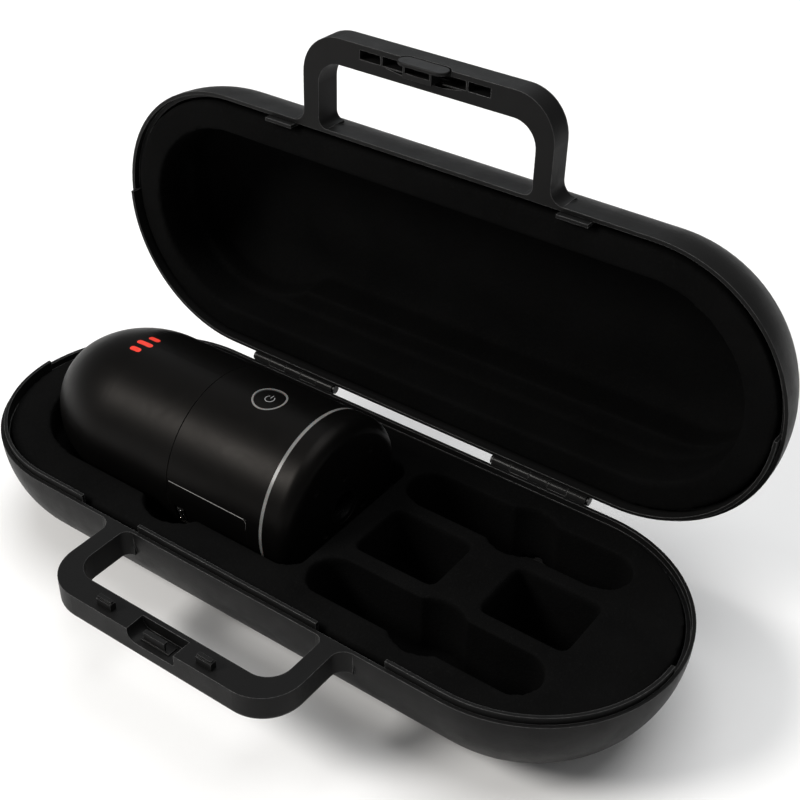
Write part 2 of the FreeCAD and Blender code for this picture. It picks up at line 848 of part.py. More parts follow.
def latch_frame():
    """The plate that closes the channel behind the slide, with the slide's end stops."""
    half, top = cell("strip_half") - 0.3, FRONT + 0.3
    plate = box(-half, half, top, BACK - 0.1, CHANNEL + 0.1, CHANNEL + 0.9)
    stops = []
    for side in (-1, 1):
        x = (half - 0.6) * side
        stops.append(box(x - 0.6, x + 0.6, top, BACK - 0.1, CHANNEL + 0.8, SLOT - 0.2))
    return fuse(plate, *stops)


def latch_button():
    """The button's plate on the grip's outer face, its two legs, and the hook that catches in the base."""
    cap = pad(button_plan(0), REACH - cell("button_plate"), REACH, "XZ_Plane")
    doc.recompute()
    plate = cap.Tip
    rim = [
        f"Edge{number}"
        for number, edge in enumerate(plate.Shape.Edges, start=1)
        if all(abs(v.Y + REACH.number) < 1e-6 for v in edge.Vertexes)
    ]
    rounding = cap.newObject("PartDesign::Fillet", "rounding")
    rounding.Base = (plate, rim)
    bind(rounding, "Radius", 0.5)
    cap.Tip = rounding
    leg_x, low, high, tip = cell("leg_x"), -cell("hook_low"), -cell("hook_high"), cell("hook_tip")
    legs = []
    under, foot = cell("button_plate") - REACH - 0.2, 0.4 - cell("button_back")
    for x in (-leg_x, leg_x):
        legs.append(box(x - 0.5, x + 0.5, under, high, foot, tip))
        legs.append(box(x - 0.5, x + 0.5, SLIDE_FRONT, SLIDE_BACK - 0.1, SLOT - 0.35, 0))
    bar = box(-leg_x, leg_x, low, high, -3, tip)
    nose = box(-leg_x, leg_x, low - 1.1, low + 0.2, tip - 1.4, tip)
    return fuse(cap, *legs, bar, nose)


def latch_bar():
    """The slide behind the slots that the button's legs stand on."""
    half, low = cell("strip_half") - 1.8, CHANNEL + 1.2
    plate = box(-half, half, SLIDE_FRONT, SLIDE_BACK, low, SLOT - 0.35)
    ends = []
    for side in (-1, 1):
        middle = (half - 2) * side
        ends.append(box(middle - 2, middle + 2, SLIDE_FRONT, SLIDE_BACK, low, SLOT - 0.1))
    return fuse(plate, *ends)


# ---------------------------------------------------------------- sub-parts in their places

parts = {}


def publish(name, thing, x=0, y=0, z=0, rotation=None):
    part = moved(thing, x, y, z, rotation)
    part.Label = name
    parts[name] = part


RIM = cell("rim_height")
HINGE_Y, RISE = cell("hinge_y"), cell("hinge_rise")
COS = Length("cos(sizes.open_angle * 1deg)", math.cos(math.radians(SIZES["open_angle"])))
SIN = Length("sin(sizes.open_angle * 1deg)", math.sin(math.radians(SIZES["open_angle"])))
LID_Y = HINGE_Y * (1 - COS) - RISE * SIN
LID_Z = RIM + RISE + HINGE_Y * SIN - RISE * COS
TURN_OVER = FreeCAD.Rotation(FreeCAD.Vector(0, 1, 0), 180)
LID_TURN = FreeCAD.Rotation(FreeCAD.Vector(1, 0, 0), -SIZES["open_angle"]).multiply(TURN_OVER)
AXIS_Z = RIM + cell("axis_rise")
SHIFT = -cell("frame_shift")


def on_base(name, thing):
    publish(name, thing, y=SHIFT, z=RIM)


def on_lid(name, thing):
    publish(name, thing, y=LID_Y + SHIFT, z=LID_Z, rotation=LID_TURN)


def on_scanner(name, thing):
    publish(name, thing, y=SHIFT, z=AXIS_Z)


# case base
on_base("base_shell", make_half(base_lip_spans(), (1, 3), [latch_pocket()], 1))
on_base("base_foam", base_foam())
pins = []
for side in (-1, 1):
    middle = cell("hinge_centre") * side
    span = cell("knuckle_pitch") * 5
    shaft = rod("x", middle - span / 2, span, cell("pin_radius"), HINGE_Y, RISE)
    caps = [rod("x", x, 1.0, 2.2, HINGE_Y, RISE) for x in (middle - span / 2 - 1, middle + span / 2)]
    pins.append(fuse(shaft, *caps))
on_base("hinge_pins", group(*pins))
feet = [rod("z", -RIM, 6.0, 8, x, y) for x in (-112, 112) for y in (-32, 32)]
on_base("base_feet", cut(group(*feet), half_solid(-0.02)))
catch_half = cell("leg_x") - 0.9
catch_floor = -cell("scoop_depth") + 0.05
catch = fuse(
    box(-7, 8, FRONT + 0.4, BACK + 1.4, catch_floor, catch_floor + 0.75),
    box(-catch_half, catch_half, FRONT + 0.8, FRONT + 1.8, catch_floor + 0.55, -1.2),
    box(-catch_half, catch_half, FRONT + 0.8, FRONT + 2.8, -2.2, -1.2),
)
on_base("catch_plate", catch)
tabs = []
for side in (-1, 1):
    x, half, top = cell("tab_centre") * side, cell("tab_half"), cell("tab_height")
    stem = box(x - half, x + half, FRONT + 0.5, BACK - 0.5, -cell("parting_gap"), top - 1)
    head = box(x - half + 0.3, x + half - 0.3, FRONT + 1.1, BACK - 1.1, top - 1.1, top)
    tabs.append(fuse(stem, head))
on_base("handle_tabs", group(*tabs))

# lid
on_lid("lid_shell", make_half(lid_lip_spans(), (0, 2, 4), latch_hollow(), -1))
on_lid("lid_foam", lid_foam())
on_lid("latch_frame", latch_frame())
on_lid("latch_button", latch_button())
on_lid("latch_bar", latch_bar())

# scanner, lower housing
on_scanner("lower_housing", lower_housing())
on_scanner("led_ring", led_ring())
on_scanner("foot_shell", foot_shell())
on_scanner("mount_bush", mount_bush())
screws = [screw(END - 0.3, 9, 1.5, 1.6, 1.4, *spot) for spot in screw_spots()]
on_scanner("foot_screws", group(*screws))
on_scanner("button_ring", button_ring())
on_scanner("battery", battery())
on_scanner("battery_door", battery_door())
on_scanner("main_board", ring(-8.2, -6.6, 33, 14))
on_scanner("yaw_bearing", ring(SEAM + 0.9, SEAM + 6.6, 16.9, 9.0))
on_scanner("yaw_motor_stator", ring(SEAM + 6.9, SEAM + 13.9, 16.4, 9.6))
on_scanner("power_button", power_button())
on_scanner("door_latch", door_latch())

# scanner, turning head
on_scanner("dome_cover", dome_cover())
on_scanner("scan_window", window_band(as_length(-0.25), as_length(-1.6), 21.6, WINDOW_ANGLE))
on_scanner("camera_windows", group(*[camera_window(a) for a in LENS_ANGLES]))
on_scanner("camera_modules", group(*[camera(a) for a in LENS_ANGLES]))
on_scanner("head_frame", head_frame())
on_scanner("yaw_motor_rotor", ring(SEAM + 7.2, SEAM + 13.6, 9.35, 8.9))
on_scanner("beam_collimator", beam_collimator())
on_scanner("laser_module", laser_module())
on_scanner("mirror_motor", mirror_motor())
on_scanner("mirror_rotor", mirror_rotor())

doc.recompute()
for thing in doc.Objects:
    if "Invalid" in thing.State or "Error" in thing.State:
        raise RuntimeError(f"{thing.Name} ({thing.Label}) failed: {thing.State}")
for name, part in parts.items():
    if part.Shape.isNull() or not part.Shape.isValid() or not part.Shape.Solids:
        raise RuntimeError(f"{name} has no valid shape")

os.makedirs("parts", exist_ok=True)
for name, part in parts.items():
    part.Shape.exportStep(f"parts/{name}.step")
    print(f"{name}: {len(part.Shape.Solids)} solids, {part.Shape.Volume / 1000:.1f} cm3")
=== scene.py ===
import json
import math

import bmesh
import bpy
from mathutils import Matrix, Vector
from mathutils.bvhtree import BVHTree


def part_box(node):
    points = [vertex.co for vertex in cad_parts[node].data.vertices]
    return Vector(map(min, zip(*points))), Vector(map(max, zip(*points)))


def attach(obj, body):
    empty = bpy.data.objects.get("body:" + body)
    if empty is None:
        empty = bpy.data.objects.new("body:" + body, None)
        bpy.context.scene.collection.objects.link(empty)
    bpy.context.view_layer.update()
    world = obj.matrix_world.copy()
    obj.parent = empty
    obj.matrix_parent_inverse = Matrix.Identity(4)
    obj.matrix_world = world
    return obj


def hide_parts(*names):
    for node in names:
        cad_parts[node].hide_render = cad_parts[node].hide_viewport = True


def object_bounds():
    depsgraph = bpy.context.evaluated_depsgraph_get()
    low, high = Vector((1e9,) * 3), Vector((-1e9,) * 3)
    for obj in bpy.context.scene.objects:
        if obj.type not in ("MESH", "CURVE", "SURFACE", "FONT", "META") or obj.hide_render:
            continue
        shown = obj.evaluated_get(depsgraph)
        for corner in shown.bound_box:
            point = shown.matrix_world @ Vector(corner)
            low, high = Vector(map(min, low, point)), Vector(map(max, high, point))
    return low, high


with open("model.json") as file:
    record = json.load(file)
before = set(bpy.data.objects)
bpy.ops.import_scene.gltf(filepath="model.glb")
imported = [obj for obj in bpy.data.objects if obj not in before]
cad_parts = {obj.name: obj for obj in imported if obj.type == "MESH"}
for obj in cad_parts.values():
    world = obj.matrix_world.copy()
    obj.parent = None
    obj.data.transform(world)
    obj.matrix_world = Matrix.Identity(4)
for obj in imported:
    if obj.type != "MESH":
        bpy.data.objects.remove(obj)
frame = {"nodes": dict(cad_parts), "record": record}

cad_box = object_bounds()
nodes = frame["nodes"]
scene = bpy.context.scene


# ---------------------------------------------------------------- camera
AZIMUTH, ELEVATION, ROLL = math.radians(35.4), math.radians(36.48), math.radians(0.95)
CAMERA_PLACE = Vector((0.2970, -0.36752, 0.4407))
SENSOR_WIDTH, FOCAL_LENGTH = 36, 61.9
SHIFT_X, SHIFT_Y = 0.00505, 0.0235
NEAREST, FARTHEST = 0.01, 50


def camera_axes():
    """The camera's right, up and back, turned by AZIMUTH, ELEVATION and ROLL."""
    right = Vector((math.cos(AZIMUTH), math.sin(AZIMUTH), 0))
    back = Vector((math.sin(AZIMUTH) * math.cos(ELEVATION),
                   -math.cos(AZIMUTH) * math.cos(ELEVATION), math.sin(ELEVATION)))
    up = back.cross(right)
    tipped_right = right * math.cos(ROLL) + up * math.sin(ROLL)
    tipped_up = up * math.cos(ROLL) - right * math.sin(ROLL)
    return tipped_right, tipped_up, back


camera_data = bpy.data.cameras.new("camera")
camera = bpy.data.objects.new("camera", camera_data)
scene.collection.objects.link(camera)
columns = camera_axes()
camera.matrix_world = Matrix.Translation(CAMERA_PLACE) @ Matrix(
    [[column[row] for column in columns] for row in range(3)]).to_4x4()
camera_data.sensor_width, camera_data.lens = SENSOR_WIDTH, FOCAL_LENGTH
camera_data.shift_x, camera_data.shift_y = SHIFT_X, SHIFT_Y
camera_data.clip_start, camera_data.clip_end = NEAREST, FARTHEST
scene.camera = camera


# ---------------------------------------------------------------- materials
BEVEL_SAMPLES = 4


class Surface:
    """A procedural material in object coordinates, which are metres in the row frame."""

    def __init__(self, name):
        self.material = bpy.data.materials.new(name)
        self.material.use_nodes = True
        self.tree = self.material.node_tree
        self.tree.nodes.clear()
        self.shader = self.node("ShaderNodeBsdfPrincipled")
        output = self.node("ShaderNodeOutputMaterial")
        self.link(self.shader.outputs[0], output.inputs["Surface"])
        self.place = self.node("ShaderNodeTexCoord").outputs["Object"]
        self.height = None

    def node(self, kind, **settings):
        made = self.tree.nodes.new(kind)
        for key, value in settings.items():
            setattr(made, key, value)
        return made

    def link(self, source, target):
        self.tree.links.new(source, target)

    def stretched(self, x, y, z):
        mapping = self.node("ShaderNodeMapping")
        self.link(self.place, mapping.inputs["Vector"])
        mapping.inputs["Scale"].default_value = (x, y, z)
        return mapping.outputs[0]

    def noise(self, scale, detail=3.0, rough=0.55, distortion=0.0, place=None):
        made = self.node("ShaderNodeTexNoise")
        self.link(place or self.place, made.inputs["Vector"])
        made.inputs["Scale"].default_value = scale
        made.inputs["Detail"].default_value = detail
        made.inputs["Roughness"].default_value = rough
        made.inputs["Distortion"].default_value = distortion
        return made.outputs["Fac"]

    def cells(self, scale, feature="F1"):
        made = self.node("ShaderNodeTexVoronoi", feature=feature)
        self.link(self.place, made.inputs["Vector"])
        made.inputs["Scale"].default_value = scale
        return made.outputs["Distance"]

    def between(self, source, low, high, to_low, to_high):
        """source from low..high spread to to_low..to_high."""
        made = self.node("ShaderNodeMapRange")
        self.link(source, made.inputs["Value"])
        ends = {"From Min": low, "From Max": high, "To Min": to_low, "To Max": to_high}
        for key, value in ends.items():
            made.inputs[key].default_value = value
        return made.outputs[0]

    def maths(self, operation, first, second):
        made = self.node("ShaderNodeMath", operation=operation)
        for socket, value in zip(made.inputs, (first, second)):
            if isinstance(value, (int, float)):
                socket.default_value = value
            else:
                self.link(value, socket)
        return made.outputs[0]

    def colours(self, source, first, second, low=0.3, high=0.7):
        ramp = self.node("ShaderNodeValToRGB")
        self.link(source, ramp.inputs[0])
        stops = zip(ramp.color_ramp.elements, (low, high), (first, second))
        for stop, position, colour in stops:
            stop.position, stop.color = position, (*colour, 1)
        return ramp.outputs[0]

    def mixed(self, factor, first, second):
        made = self.node("ShaderNodeMix", data_type="RGBA")
        self.link(factor, made.inputs[0])
        for socket, value in ((made.inputs[6], first), (made.inputs[7], second)):
            if isinstance(value, tuple):
                socket.default_value = (*value, 1)
            else:
                self.link(value, socket)
        return made.outputs[2]

    def edges(self, radius, low=0.02, high=0.25):
        """1 along the convex and concave edges of the shape, 0 on its flats."""
        bevel = self.node("ShaderNodeBevel", samples=BEVEL_SAMPLES)
        bevel.inputs["Radius"].default_value = radius
        geometry = self.node("ShaderNodeNewGeometry")
        dot = self.node("ShaderNodeVectorMath", operation="DOT_PRODUCT")
        self.link(bevel.outputs[0], dot.inputs[0])
        self.link(geometry.outputs["Normal"], dot.inputs[1])
        bent = self.maths("SUBTRACT", 1.0, dot.outputs["Value"])
        return self.between(bent, low, high, 0, 1)

    def bump(self, source, depth, strength=1.0):
        """Adds a relief of depth metres."""
        made = self.node("ShaderNodeBump")
        made.inputs["Strength"].default_value = strength
        made.inputs["Distance"].default_value = depth
        self.link(source, made.inputs["Height"])
        if self.height is not None:
            self.link(self.height, made.inputs["Normal"])
        self.height = made.outputs[0]

    def soften(self, radius):
        """Rounds the shading of sharp edges over radius metres. Comes before any bump."""
        bevel = self.node("ShaderNodeBevel", samples=BEVEL_SAMPLES)
        bevel.inputs["Radius"].default_value = radius
        self.height = bevel.outputs[0]

    def done(self, colour=None, roughness=None, **plain):
        if isinstance(colour, tuple):
            self.shader.inputs["Base Color"].default_value = (*colour, 1)
        elif colour is not None:
            self.link(colour, self.shader.inputs["Base Color"])
        if isinstance(roughness, (int, float)):
            self.shader.inputs["Roughness"].default_value = roughness
        elif roughness is not None:
            self.link(roughness, self.shader.inputs["Roughness"])
        for key, value in plain.items():
            self.shader.inputs[key.replace("_", " ")].default_value = value
        if self.height is not None:
            self.link(self.height, self.shader.inputs["Normal"])
        return self.material


def grey(value, warm=0.0):
    """A grey, with red raised and blue lowered by the share warm."""
    return (value * (1 + warm), value, value * (1 - warm))


WORN_ROUGHNESS = 0.45
FLOW_RIPPLE = 0.00012


def moulded(name, dark, light, rough, grain, grain_depth, edge_highlight, specular, edge, hinge=None):
    """Injection-moulded plastic with spark-eroded grain, faint flow clouds and a painted highlight
    along its edges: a lighter colour that stands in for the light the edges catch, where they also
    rub smoother.

    hinge is the tone of the hinge knuckles, where the piece has them: lighter than the body, a
    painted highlight; the knuckles also rub smoother.
    """
    made = Surface(name)
    clouds = made.noise(22, 4, 0.6, 0.4)
    highlight_breakup = made.noise(260, 5, 0.7, 1.5)
    body = made.colours(clouds, grey(dark), grey(light))
    polish_and_highlight_edges = made.edges(edge)
    # painted highlight: a lighter colour along the edges, broken up by noise
    painted_edge_highlight = made.maths("MULTIPLY", polish_and_highlight_edges, made.between(highlight_breakup, 0.35, 0.65, 0.35, 1.0))
    made.soften(edge)
    made.bump(made.noise(grain, 2, 0.5), grain_depth)
    made.bump(made.noise(38, 2, 0.5), FLOW_RIPPLE, 0.35)
    polish = made.between(made.noise(90, 4, 0.65), 0.3, 0.7, rough - 0.06, rough + 0.06)
    if hinge is not None:
        knuckles = knuckle_zone(made)
        # painted highlight: the knuckles take a lighter tone than the body
        body = made.mixed(knuckles, body, grey(hinge))
        polish_and_highlight_edges = made.maths("MAXIMUM", polish_and_highlight_edges, knuckles)
    smooth = made.maths("MULTIPLY", polish, made.between(polish_and_highlight_edges, 0, 1, 1.0, WORN_ROUGHNESS))
    return made.done(made.mixed(painted_edge_highlight, body, grey(edge_highlight)), smooth, Specular_IOR_Level=specular)


KNUCKLE_RADIUS, KNUCKLE_FADE = 0.0028, 0.0004


def knuckle_zone(made):
    """1 on the hinge knuckles, which rub smooth and take a painted highlight."""
    pin_low, pin_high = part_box("hinge_pins")
    parts = made.node("ShaderNodeSeparateXYZ")
    made.link(made.place, parts.inputs[0])
    zone = None
    for axis in (1, 2):
        middle = (pin_low[axis] + pin_high[axis]) / 2
        off_axis = made.maths("SUBTRACT", parts.outputs[axis], middle)
        away = made.maths("ABSOLUTE", off_axis, 0.0)
        near = made.between(away, KNUCKLE_RADIUS, KNUCKLE_RADIUS + KNUCKLE_FADE, 1, 0)
        zone = near if zone is None else made.maths("MULTIPLY", zone, near)
    return zone


def foam_material():
    """Closed-cell foam: fine open pores on a soft skin."""
    made = Surface("foam_black")
    clouds = made.noise(30, 4, 0.6)
    pores = made.cells(1500)
    larger = made.cells(520)
    base = made.colours(clouds, grey(0.0021), grey(0.0033))
    crumbs = made.between(made.noise(900, 3, 0.6), 0.55, 0.8, 0, 0.7)
    made.bump(larger, 0.00022, 0.45)
    made.bump(pores, 0.00012, 0.6)
    return made.done(made.mixed(crumbs, base, grey(0.0052)),
                     made.between(pores, 0, 0.6, 0.75, 0.98),
                     Specular_IOR_Level=0.03)


def metal(name, colour, rough, along=None, lines=900, depth=0.00001):
    """Brushed or bead-blasted metal: fine lines across one direction where along is given."""
    made = Surface(name)
    place = made.stretched(*along) if along else made.place
    lines_noise = made.noise(lines, 3, 0.6, place=place)
    tone = made.colours(made.noise(60, 3), grey(colour * 0.85), grey(colour))
    made.bump(lines_noise, depth)
    return made.done(tone, made.between(lines_noise, 0.3, 0.7, rough - 0.08, rough + 0.1),
                     Metallic=1.0)


SKIN_WARMTH, SKIN_EDGE = 0.03, 0.0003


def skin_material(name, dark, light):
    """The scanner's satin paint: an orange-peel ripple, a few polished hand marks, and a painted
    highlight along its edges, a lighter colour strongest on the hand marks.
    """
    made = Surface(name)
    clouds = made.noise(14, 3, 0.5, 0.3)
    smears = made.noise(45, 5, 0.7, 2.0)
    body = made.colours(clouds, grey(dark, SKIN_WARMTH), grey(light, SKIN_WARMTH))
    highlight_smears = made.between(smears, 0.4, 0.7, 0.1, 0.8)
    # painted highlight: a lighter colour along the edges
    painted_edge_highlight = made.maths("MULTIPLY", made.edges(SKIN_EDGE), highlight_smears)
    made.soften(SKIN_EDGE)
    made.bump(made.noise(1500, 2, 0.5), 0.000012)
    made.bump(made.noise(210, 2, 0.5), 0.00004, 0.3)
    return made.done(made.mixed(painted_edge_highlight, body, grey(0.03, SKIN_WARMTH)),
                     made.between(smears, 0.3, 0.75, 0.36, 0.44), Specular_IOR_Level=0.080,
                     Specular_Tint=(1.0, 0.94, 0.89, 1))


def glass_material():
    """The scanner's dark window: smoked and coated, with faint wipe marks."""
    made = Surface("smoked_window")
    wipes = made.noise(80, 4, 0.7, 2.5, place=made.stretched(1, 3, 3))
    made.bump(made.noise(30, 2), 0.00002, 0.3)
    coating = made.colours(made.noise(18), (0.004, 0.004, 0.0055), (0.007, 0.007, 0.009))
    return made.done(coating, made.between(wipes, 0.35, 0.7, 0.05, 0.14), Specular_IOR_Level=0.55,
                     Coat_Weight=0.6, Coat_Roughness=0.05)


def light_guide_material():
    """The milky light ring: slightly see-through plastic with moulding clouds."""
    made = Surface("milky_light_guide")
    clouds = made.noise(120, 4, 0.6)
    made.bump(made.noise(700, 2), 0.00002, 0.5)
    return made.done(made.colours(clouds, (0.130, 0.128, 0.125), (0.170, 0.168, 0.165)),
                     made.between(clouds, 0.3, 0.7, 0.28, 0.4), Specular_IOR_Level=0.4,
                     Subsurface_Weight=0.15, Subsurface_Scale=0.002)


def print_material(name, first, second, rough):
    """Pad-printed ink, also used for the painted highlight line along the battery door: slightly
    uneven cover over the grain below.
    """
    made = Surface(name)
    cover = made.noise(600, 4, 0.7)
    made.bump(made.noise(1500, 2), 0.00001)
    return made.done(made.colours(cover, first, second),
                     made.between(cover, 0.3, 0.7, rough - 0.05, rough + 0.1),
                     Specular_IOR_Level=0.35)


def rubber_material():
    """The feet's dull rubber, with dust."""
    made = Surface("foot_rubber")
    dust = made.between(made.noise(300, 5, 0.7), 0.5, 0.75, 0, 0.5)
    made.bump(made.noise(1800, 2), 0.00005)
    return made.done(made.mixed(dust, grey(0.010), (0.03, 0.029, 0.028)),
                     made.between(made.noise(200, 3), 0.3, 0.7, 0.75, 0.92),
                     Specular_IOR_Level=0.3)


def wrap_material():
    """The battery's heat-shrunk wrap, with fine creases."""
    made = Surface("battery_wrap")
    creases = made.noise(140, 4, 0.6, 1.0, place=made.stretched(0.25, 1, 1))
    made.bump(creases, 0.0002, 0.5)
    film = made.colours(made.noise(50, 3), (0.02, 0.022, 0.03), (0.032, 0.035, 0.045))
    return made.done(film, made.between(creases, 0.3, 0.7, 0.25, 0.45))


def board_material():
    """Green solder mask over copper tracks, with tinned pads."""
    made = Surface("circuit_board")
    tracks = made.cells(330, "DISTANCE_TO_EDGE")
    pads = made.between(made.cells(410), 0.16, 0.2, 1, 0)
    mask = made.colours(tracks, (0.02, 0.14, 0.06), (0.008, 0.07, 0.03), 0.03, 0.1)
    made.bump(tracks, 0.00004, 0.6)
    return made.done(made.mixed(pads, mask, (0.55, 0.53, 0.48)),
                     made.between(pads, 0, 1, 0.35, 0.25))


MATERIALS = {
    "case_plastic": moulded("case_plastic", 0.0052, 0.0068, 0.44, 1500, 0.00005, 0.20,
                            specular=0.075, edge=0.0004, hinge=0.011),
    "case_trim": moulded("case_trim", 0.0050, 0.0062, 0.40, 1700, 0.00004, 0.18,
                         specular=0.10, edge=0.0002),
    "foam": foam_material(),
    "steel": metal("pin_steel", 0.55, 0.3, along=(0.05, 1, 1)),
    "feet_rubber": rubber_material(),
    "scanner_skin": skin_material("scanner_skin", 0.0014, 0.0021),
    "light_guide": light_guide_material(),
    "battery_wrap": wrap_material(),
    "circuit_board": board_material(),
    "motor_metal": metal("motor_metal", 0.32, 0.38, along=(0.08, 1, 1), lines=600,
                         depth=0.00002),
    "dark_window": glass_material(),
    "head_metal": metal("head_metal", 0.26, 0.45, lines=1400, depth=0.00002),
    "mirror_face": metal("mirror_face", 0.82, 0.12, lines=3000, depth=0.000001),
}

BLACKENED = metal("blackened_steel", 0.035, 0.42, lines=1400, depth=0.00001)
BLACKENED_NODES = ("mount_bush", "foot_screws", "hinge_pins")


def dress_frame():
    """Every CAD node keeps its slot's finish, in the better material, on all its faces."""
    for part in frame["record"]["subparts"]:
        mesh = nodes[part["node"]].data
        mesh.materials.clear()
        if part["node"] in BLACKENED_NODES:
            mesh.materials.append(BLACKENED)
        else:
            mesh.materials.append(MATERIALS[part["material_slot"]])
        mesh.polygons.foreach_set("material_index", [0] * len(mesh.polygons))


dress_frame()


# ---------------------------------------------------------------- pieces
def add_mesh(name, mesh, body, material):
    """A smooth-shaded piece that rides on body and wears material."""
    obj = bpy.data.objects.new(name, mesh)
    scene.collection.objects.link(obj)
    mesh.materials.clear()
    mesh.materials.append(material)
    mesh.polygons.foreach_set("use_smooth", [True] * len(mesh.polygons))
    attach(obj, body)
    return obj


def baked(obj):
    """obj's shape with its modifiers applied, as a new mesh."""
    bpy.context.view_layer.update()
    evaluated = obj.evaluated_get(bpy.context.evaluated_depsgraph_get())
    return bpy.data.meshes.new_from_object(evaluated)


FOAM_WELD, FOAM_VOXEL, FOAM_ROUNDS, FOAM_FILL = 0.00001, 0.0013, 5, 0.95


def foam_piece(node, name, body):
    """A foam block in the CAD node's shape, with the soft, slightly sunken edges of cut foam."""
    work = bpy.data.objects.new("work", nodes[node].data.copy())
    scene.collection.objects.link(work)
    weld = work.modifiers.new("weld", "WELD")
    weld.merge_threshold = FOAM_WELD
    remesh = work.modifiers.new("remesh", "REMESH")
    remesh.mode, remesh.voxel_size = "VOXEL", FOAM_VOXEL
    soften = work.modifiers.new("soften", "SMOOTH")
    soften.factor, soften.iterations = 0.5, FOAM_ROUNDS
    mesh = baked(work)
    bpy.data.objects.remove(work)
    piece = add_mesh(name, mesh, body, MATERIALS["foam"])
    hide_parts(node)


foam_piece("base_foam", "base_foam_block", "case_base")
foam_piece("lid_foam", "lid_foam_block", "lid")


def surface_of(*names):
    """A search tree over the CAD nodes' faces."""
    build = bmesh.new()
    for name in names:
        build.from_mesh(nodes[name].data)
    tree = BVHTree.FromBMesh(build)
    build.free()
    return tree


ring_low, ring_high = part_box("led_ring")
AXIS_Y, AXIS_Z = (ring_low.y + ring_high.y) / 2, (ring_low.z + ring_high.z) / 2
SCANNER_RADIUS, RAY_START, INK_LIFT = 0.040, 0.06, 0.00006


def on_scanner(tree, x, angle, lift):
    """The skin's point at x along the scanner, angle radians round from the top towards +Y."""
    outward = Vector((0, math.sin(angle), math.cos(angle)))
    start = Vector((x, AXIS_Y, AXIS_Z)) + outward * RAY_START
    place, normal, _, _ = tree.ray_cast(start, -outward)
    return place + normal * lift


def wrapped(tree, outline, centre_x, centre_angle, radius, lift):
    """A thin patch of print or of painted highlight: outline points (along, round) in metres, laid
    on the skin.
    """
    build = bmesh.new()
    for loop in outline:
        points = [build.verts.new((a, b, 0)) for a, b in loop]
        build.faces.new(points)
    bmesh.ops.triangulate(build, faces=build.faces[:])
    bmesh.ops.subdivide_edges(build, edges=build.edges[:], cuts=2, use_grid_fill=True)
    for vert in build.verts:
        vert.co = on_scanner(tree, centre_x + vert.co.x, centre_angle + vert.co.y / radius, lift)
    mesh = bpy.data.meshes.new("patch")
    build.to_mesh(mesh)
    build.free()
    return mesh


def rounded_bar(cx, cy, length, width, lean, count=7):
    """A bar with round ends, its middle at (cx, cy), leaning by lean radians."""
    half = (length - width) / 2
    points = []
    for end, start in ((1, -math.pi / 2), (-1, math.pi / 2)):
        for step in range(count + 1):
            turn = start + math.pi * step / count
            points.append((end * half + width / 2 * math.cos(turn), width / 2 * math.sin(turn)))
    spin_c, spin_s = math.cos(lean), math.sin(lean)
    return [(cx + x * spin_c - y * spin_s, cy + x * spin_s + y * spin_c) for x, y in points]


def arc_strip(radius, width, start, end, count):
    """Quads of a flat ring or part of one."""
    inner, outer = radius - width / 2, radius + width / 2
    quads = []
    for step in range(count):
        a = start + (end - start) * step / count
        b = start + (end - start) * (step + 1) / count
        corners = ((inner, a), (outer, a), (outer, b), (inner, b))
        quads.append([(r * math.cos(turn), r * math.sin(turn)) for r, turn in corners])
    return quads


def strip_along(points, width):
    """Quads of a narrow line through points."""
    quads = []
    for (ax, ay), (bx, by) in zip(points, points[1:]):
        along = Vector((bx - ax, by - ay)).normalized()
        side = Vector((-along.y, along.x)) * (width / 2)
        quads.append([(ax + side.x, ay + side.y), (ax - side.x, ay - side.y),
                      (bx - side.x, by - side.y), (bx + side.x, by + side.y)])
    return quads


# the plain mark on the dome: three bars, the middle one longest
MARK_X, MARK_ANGLE = -0.100, math.radians(-2)
BAR_STEP, BAR_SHIFT, BAR_WIDTH = 0.0052, 0.0010, 0.0026
BAR_LENGTH, BAR_SHORTER = 0.0092, 0.0028
MARK_RED = print_material("mark_red", (0.62, 0.030, 0.016), (0.74, 0.042, 0.022), 0.4)
mark_bars = [rounded_bar(BAR_SHIFT * k, BAR_STEP * k, BAR_LENGTH - BAR_SHORTER * abs(k),
                         BAR_WIDTH, 0.0) for k in (-1, 0, 1)]
mark_mesh = wrapped(surface_of("dome_cover"), mark_bars, MARK_X, MARK_ANGLE, SCANNER_RADIUS,
                    INK_LIFT)
add_mesh("plain_mark", mark_mesh, "scanner_head", MARK_RED)

# a painted highlight: a light line along the battery door's upper edge and down its far corner,
# where the edge catches the light
door_low, door_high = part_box("battery_door")
DOOR_LENGTH, DOOR_MIDDLE = door_high.x - door_low.x, (door_high.x + door_low.x) / 2
DOOR_ANGLE, DOOR_HALF_WIDTH = math.radians(106), 0.0175
EDGE_WIDTH, EDGE_ROUND, EDGE_DROP, EDGE_STEPS = 0.00026, 0.0022, 0.0048, 8
DOOR_EDGE_HIGHLIGHT = print_material("door_edge_highlight", (0.10, 0.098, 0.096), (0.15, 0.147, 0.144), 0.3)
edge_path = [(-DOOR_LENGTH / 2, 0.0)]
for step in range(EDGE_STEPS + 1):
    turn = math.pi / 2 * step / EDGE_STEPS
    edge_path.append((DOOR_LENGTH / 2 - EDGE_ROUND + EDGE_ROUND * math.sin(turn),
                      EDGE_ROUND * (math.cos(turn) - 1)))
edge_path.append((DOOR_LENGTH / 2, -EDGE_DROP))
edge_angle = math.asin(DOOR_HALF_WIDTH / SCANNER_RADIUS) - DOOR_ANGLE
edge_mesh = wrapped(surface_of("battery_door", "lower_housing"),
                    strip_along(edge_path, EDGE_WIDTH), DOOR_MIDDLE, edge_angle, SCANNER_RADIUS,
                    INK_LIFT)
add_mesh("door_edge_highlight", edge_mesh, "scanner_body", DOOR_EDGE_HIGHLIGHT)

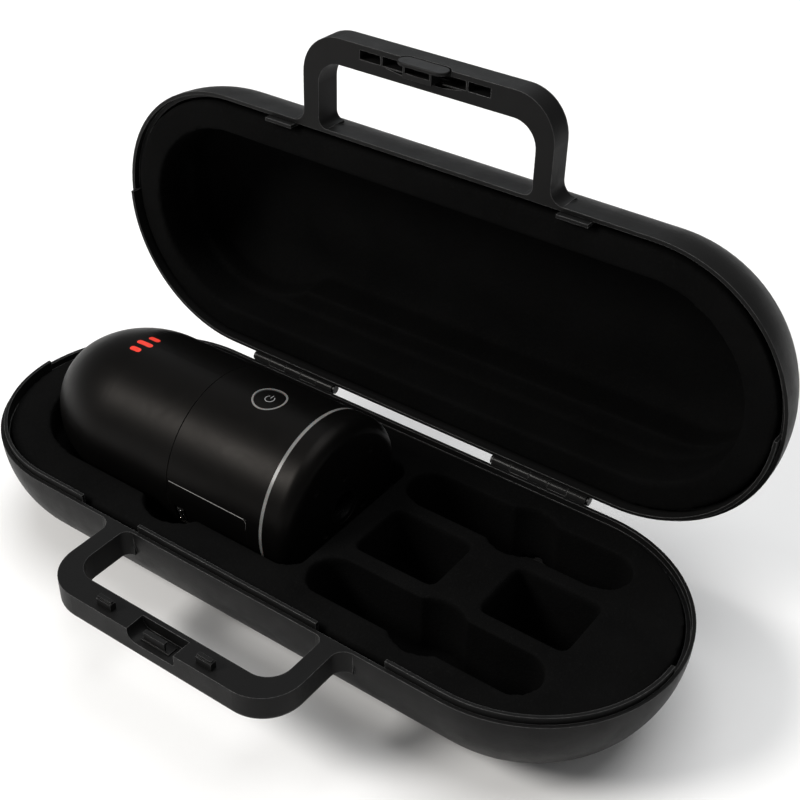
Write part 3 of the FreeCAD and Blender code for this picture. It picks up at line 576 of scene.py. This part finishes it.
# the two contact dots on the door's catch
PIN_RADIUS, PIN_IN_X, PIN_IN_Y, PIN_DROPS = 0.00042, 0.0016, 0.0006, (0.0009, 0.0054)
latch_low, latch_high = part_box("door_latch")
pins_mesh = bpy.data.meshes.new("pins")
pins = bmesh.new()
for drop in PIN_DROPS:
    spot = (latch_low.x + PIN_IN_X, latch_low.y + PIN_IN_Y, latch_high.z - drop)
    bmesh.ops.create_uvsphere(pins, u_segments=16, v_segments=10, radius=PIN_RADIUS,
                              matrix=Matrix.Translation(spot))
pins.to_mesh(pins_mesh)
pins.free()
add_mesh("latch_pins", pins_mesh, "door_catch", MATERIALS["mirror_face"])

# the power symbol: an open ring with a bar in its gap
SYMBOL_RADIUS, SYMBOL_STROKE, SYMBOL_LIFT = 0.0021, 0.00042, 0.00005
SYMBOL_FROM, SYMBOL_TO, SYMBOL_STEPS = math.radians(125), math.radians(415), 30
STEM_MIDDLE, STEM_LENGTH, STEM_WIDTH = 0.0016, 0.0024, 0.00045
button_low, button_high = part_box("power_button")
SYMBOL_GREY = print_material("symbol_grey", grey(0.17), grey(0.25), 0.45)
symbol_lines = arc_strip(SYMBOL_RADIUS, SYMBOL_STROKE, SYMBOL_FROM, SYMBOL_TO, SYMBOL_STEPS)
symbol_lines.append(rounded_bar(0.0, STEM_MIDDLE, STEM_LENGTH, STEM_WIDTH, math.radians(90)))
symbol_mesh = wrapped(surface_of("power_button"), symbol_lines,
                      (button_low.x + button_high.x) / 2, 0.0, button_high.z - AXIS_Z,
                      SYMBOL_LIFT)
add_mesh("power_symbol", symbol_mesh, "power_key", SYMBOL_GREY)


# ---------------------------------------------------------------- stage and light
FLOOR_HALF, FLOOR_DROP, FLOOR_TONE = 6.0, 0.0002, 0.93
WORLD_STRENGTH = 0.22
WARM_LIGHT, COOL_LIGHT = (1.0, 0.975, 0.94), (0.93, 0.97, 1.0)


def floor():
    """The plain pale ground just below the object."""
    mesh = bpy.data.meshes.new("floor")
    corners = [(x * FLOOR_HALF, y * FLOOR_HALF, 0) for x, y in ((-1, -1), (1, -1), (1, 1), (-1, 1))]
    mesh.from_pydata(corners, [], [(0, 1, 2, 3)])
    obj = bpy.data.objects.new("floor", mesh)
    scene.collection.objects.link(obj)
    obj.location.z = cad_box[0][2] - FLOOR_DROP
    made = Surface("floor_pale")
    mesh.materials.append(made.done(grey(FLOOR_TONE), 0.85, Specular_IOR_Level=0.1))


def area_light(name, place, target, size, power, colour=(1, 1, 1)):
    """A round soft light at place, size metres across, turned to target."""
    data = bpy.data.lights.new(name, "AREA")
    data.shape = "DISK"
    data.size, data.energy, data.color = size, power, colour
    obj = bpy.data.objects.new(name, data)
    scene.collection.objects.link(obj)
    obj.location = place
    obj.rotation_euler = (Vector(target) - Vector(place)).to_track_quat("-Z", "Y").to_euler()


floor()
world = bpy.data.worlds.new("studio")
scene.world = world
world.use_nodes = True
background = world.node_tree.nodes["Background"]
background.inputs[0].default_value = (1.0, 1.0, 1.0, 1)
background.inputs[1].default_value = WORLD_STRENGTH
area_light("overhead", (0.15, 0.40, 2.4), (0, 0, 0.05), 2.4, 44)
area_light("key", (-1.05, -1.35, 1.45), (-0.05, 0, 0.05), 0.8, 38, WARM_LIGHT)
area_light("back", (-1.05, 1.55, 1.55), (0, 0.05, 0.15), 1.6, 7, COOL_LIGHT)
scene.view_settings.view_transform = "Standard"
scene.view_settings.look = "None"
